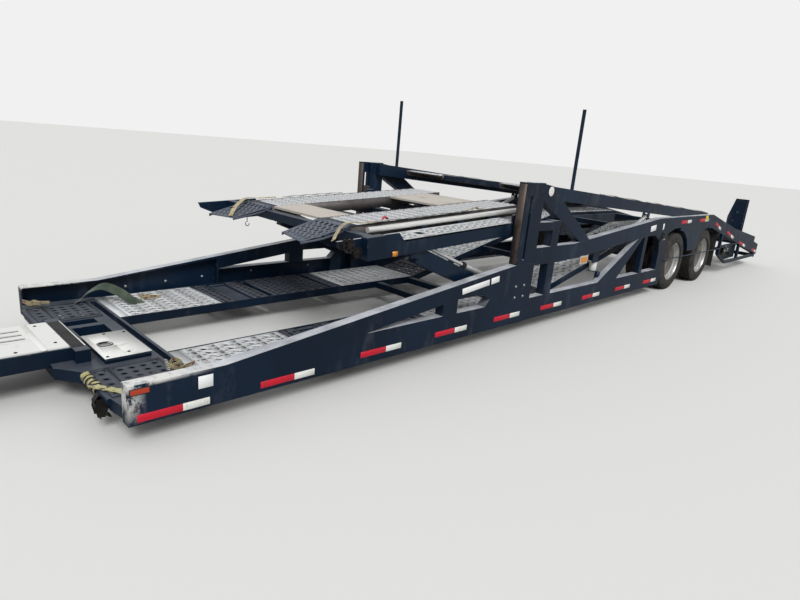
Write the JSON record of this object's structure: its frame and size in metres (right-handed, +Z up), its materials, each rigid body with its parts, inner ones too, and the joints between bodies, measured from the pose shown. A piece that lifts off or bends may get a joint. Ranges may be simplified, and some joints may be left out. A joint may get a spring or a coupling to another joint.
{
  "type": "car transporter trailer",
  "caption": "Low two-deck trailer for carrying cars: side trusses, lifting upper decks on cylinders, twin axles with twin wheels, folding ramp flaps and a kingpin tongue.",
  "frame": {"origin": "on the ground under the middle of the trailer's box", "axes": "+X forwards to the kingpin, +Y to the trailer's left, +Z up"},
  "size_m": [15.1, 2.59, 2.43],
  "materials": {
    "navy_paint": "worn satin paint",
    "dark_plate": "worn matt paint",
    "bare_track": "scuffed bare metal",
    "bare_steel": "greasy bare steel",
    "wheel_metal": "dull polished",
    "tyre_rubber": "dusty",
    "cover_metal": "stained paint",
    "panel_board": "weathered",
    "red_lens": "glossy",
    "amber_lens": "glossy"
  },
  "bodies": {
    "chassis": {"axles": "navy_paint", "belly_tracks": "bare_track", "climb_tracks": "bare_track", "cross_members": "navy_paint", "flap_hinges": "navy_paint", "front_sides": "navy_paint", "hanger_plates": "navy_paint", "hatch_cover": "cover_metal", "kingpin": "bare_steel", "landing_legs": "bare_steel", "lower_rails": "navy_paint", "marker_lamps": "amber_lens", "mudflaps": "tyre_rubber", "nose_deck": "dark_plate", "nose_plates": "dark_plate", "pin_brackets": "bare_steel", "posts": "navy_paint", "ramp_beams": "navy_paint", "ramp_tracks": "dark_plate", "rear_bumper": "navy_paint", "slide_blocks": "bare_steel", "suspension": "navy_paint", "tail_lamps": "red_lens", "tongue": "navy_paint", "tongue_cover": "cover_metal", "underrun_bars": "navy_paint", "upper_chords": "navy_paint", "wheel_guards": "navy_paint", "wheel_tracks": "bare_track"},
    "wheels_front_left": {"rims_front_left": "wheel_metal", "tyres_front_left": "tyre_rubber"},
    "wheels_front_right": {"rims_front_right": "wheel_metal", "tyres_front_right": "tyre_rubber"},
    "wheels_rear_left": {"rims_rear_left": "wheel_metal", "tyres_rear_left": "tyre_rubber"},
    "wheels_rear_right": {"rims_rear_right": "wheel_metal", "tyres_rear_right": "tyre_rubber"},
    "rear_deck": {"rear_deck_rails": "navy_paint", "rear_deck_tracks": "bare_track", "rear_deck_cross_members": "navy_paint", "guide_poles": "navy_paint"},
    "front_deck": {"front_deck_webs": "navy_paint", "front_deck_cross_members": "navy_paint", "front_walkways": "dark_plate", "front_deck_tracks": "bare_track", "edge_tubes": "bare_steel", "front_deck_panels": "panel_board", "front_deck_flaps": "dark_plate", "strap_reel": "bare_steel", "front_deck_box": "dark_plate"},
    "deck_barrel_left": {"deck_barrel_left": "navy_paint"},
    "deck_barrel_right": {"deck_barrel_right": "navy_paint"},
    "deck_rod_left": {"deck_rod_left": "bare_steel"},
    "deck_rod_right": {"deck_rod_right": "bare_steel"},
    "lift_arm_left": {"lift_arm_left": "bare_steel"},
    "lift_arm_right": {"lift_arm_right": "bare_steel"},
    "lift_sleeve_left": {"lift_sleeve_left": "navy_paint"},
    "lift_sleeve_right": {"lift_sleeve_right": "navy_paint"},
    "rear_flap_left": {"rear_flap_left": "navy_paint"},
    "rear_flap_right": {"rear_flap_right": "navy_paint"}
  },
  "joints": [
    {"name": "wheels_front_left_spin", "type": "hinge", "parent": "chassis", "child": "wheels_front_left", "pos_m": [-2.68, 1, 0.455], "axis": [0, 1, 0], "continuous": true},
    {"name": "wheels_front_right_spin", "type": "hinge", "parent": "chassis", "child": "wheels_front_right", "pos_m": [-2.68, -1, 0.455], "axis": [0, 1, 0], "continuous": true},
    {"name": "wheels_rear_left_spin", "type": "hinge", "parent": "chassis", "child": "wheels_rear_left", "pos_m": [-3.99, 1, 0.455], "axis": [0, 1, 0], "continuous": true},
    {"name": "wheels_rear_right_spin", "type": "hinge", "parent": "chassis", "child": "wheels_rear_right", "pos_m": [-3.99, -1, 0.455], "axis": [0, 1, 0], "continuous": true},
    {"name": "rear_deck_lift", "type": "hinge", "parent": "chassis", "child": "rear_deck", "pos_m": [1.53, 0, 1.555], "axis": [0, 1, 0], "range_deg": [0, 11]},
    {"name": "front_deck_lift", "type": "hinge", "parent": "chassis", "child": "front_deck", "pos_m": [1.725, 0, 1.25], "axis": [0, -1, 0], "range_deg": [-8, 12]},
    {"name": "deck_barrel_left_turn", "type": "hinge", "parent": "chassis", "child": "deck_barrel_left", "pos_m": [-0.15, 1.136, 0.7], "axis": [0, 1, 0], "range_deg": [-0.5, 19.06]},
    {"name": "deck_rod_left_slide", "type": "slide", "parent": "deck_barrel_left", "child": "deck_rod_left", "axis": [-0.9493, 0, 0.3143], "range_m": [-0.002, 0.2907]},
    {"name": "lift_arm_left_turn", "type": "hinge", "parent": "chassis", "child": "lift_arm_left", "pos_m": [1.85, 1.07, 0.47], "axis": [0, -1, 0], "range_deg": [-7.24, 10.71]},
    {"name": "lift_sleeve_left_slide", "type": "slide", "parent": "lift_arm_left", "child": "lift_sleeve_left", "axis": [0.9316, 0, 0.3635], "range_m": [-0.1094, 0.1631]},
    {"name": "deck_barrel_right_turn", "type": "hinge", "parent": "chassis", "child": "deck_barrel_right", "pos_m": [-0.15, -1.136, 0.7], "axis": [0, 1, 0], "range_deg": [-0.5, 19.06]},
    {"name": "deck_rod_right_slide", "type": "slide", "parent": "deck_barrel_right", "child": "deck_rod_right", "axis": [-0.9493, 0, 0.3143], "range_m": [-0.002, 0.2907]},
    {"name": "lift_arm_right_turn", "type": "hinge", "parent": "chassis", "child": "lift_arm_right", "pos_m": [1.85, -1.07, 0.47], "axis": [0, -1, 0], "range_deg": [-7.24, 10.71]},
    {"name": "lift_sleeve_right_slide", "type": "slide", "parent": "lift_arm_right", "child": "lift_sleeve_right", "axis": [0.9316, 0, 0.3635], "range_m": [-0.1094, 0.1631]},
    {"name": "rear_flap_left_turn", "type": "hinge", "parent": "chassis", "child": "rear_flap_left", "pos_m": [-6.55136, 1.006, 0.62144], "axis": [0, 1, 0], "range_deg": [-99, 80]},
    {"name": "rear_flap_right_turn", "type": "hinge", "parent": "chassis", "child": "rear_flap_right", "pos_m": [-6.55136, -1.006, 0.62144], "axis": [0, 1, 0], "range_deg": [0, 179]}
  ],
  "couplings": [
    {"joint": "deck_barrel_left_turn", "follows": "rear_deck_lift", "ratio": 1.6875},
    {"joint": "deck_rod_left_slide", "follows": "rear_deck_lift", "m_per_rad": 1.504},
    {"joint": "lift_arm_left_turn", "follows": "front_deck_lift", "ratio": 0.8675},
    {"joint": "lift_sleeve_left_slide", "follows": "front_deck_lift", "m_per_rad": 0.769},
    {"joint": "deck_barrel_right_turn", "follows": "rear_deck_lift", "ratio": 1.6875},
    {"joint": "deck_rod_right_slide", "follows": "rear_deck_lift", "m_per_rad": 1.504},
    {"joint": "lift_arm_right_turn", "follows": "front_deck_lift", "ratio": 0.8675},
    {"joint": "lift_sleeve_right_slide", "follows": "front_deck_lift", "m_per_rad": 0.769}
  ]
}
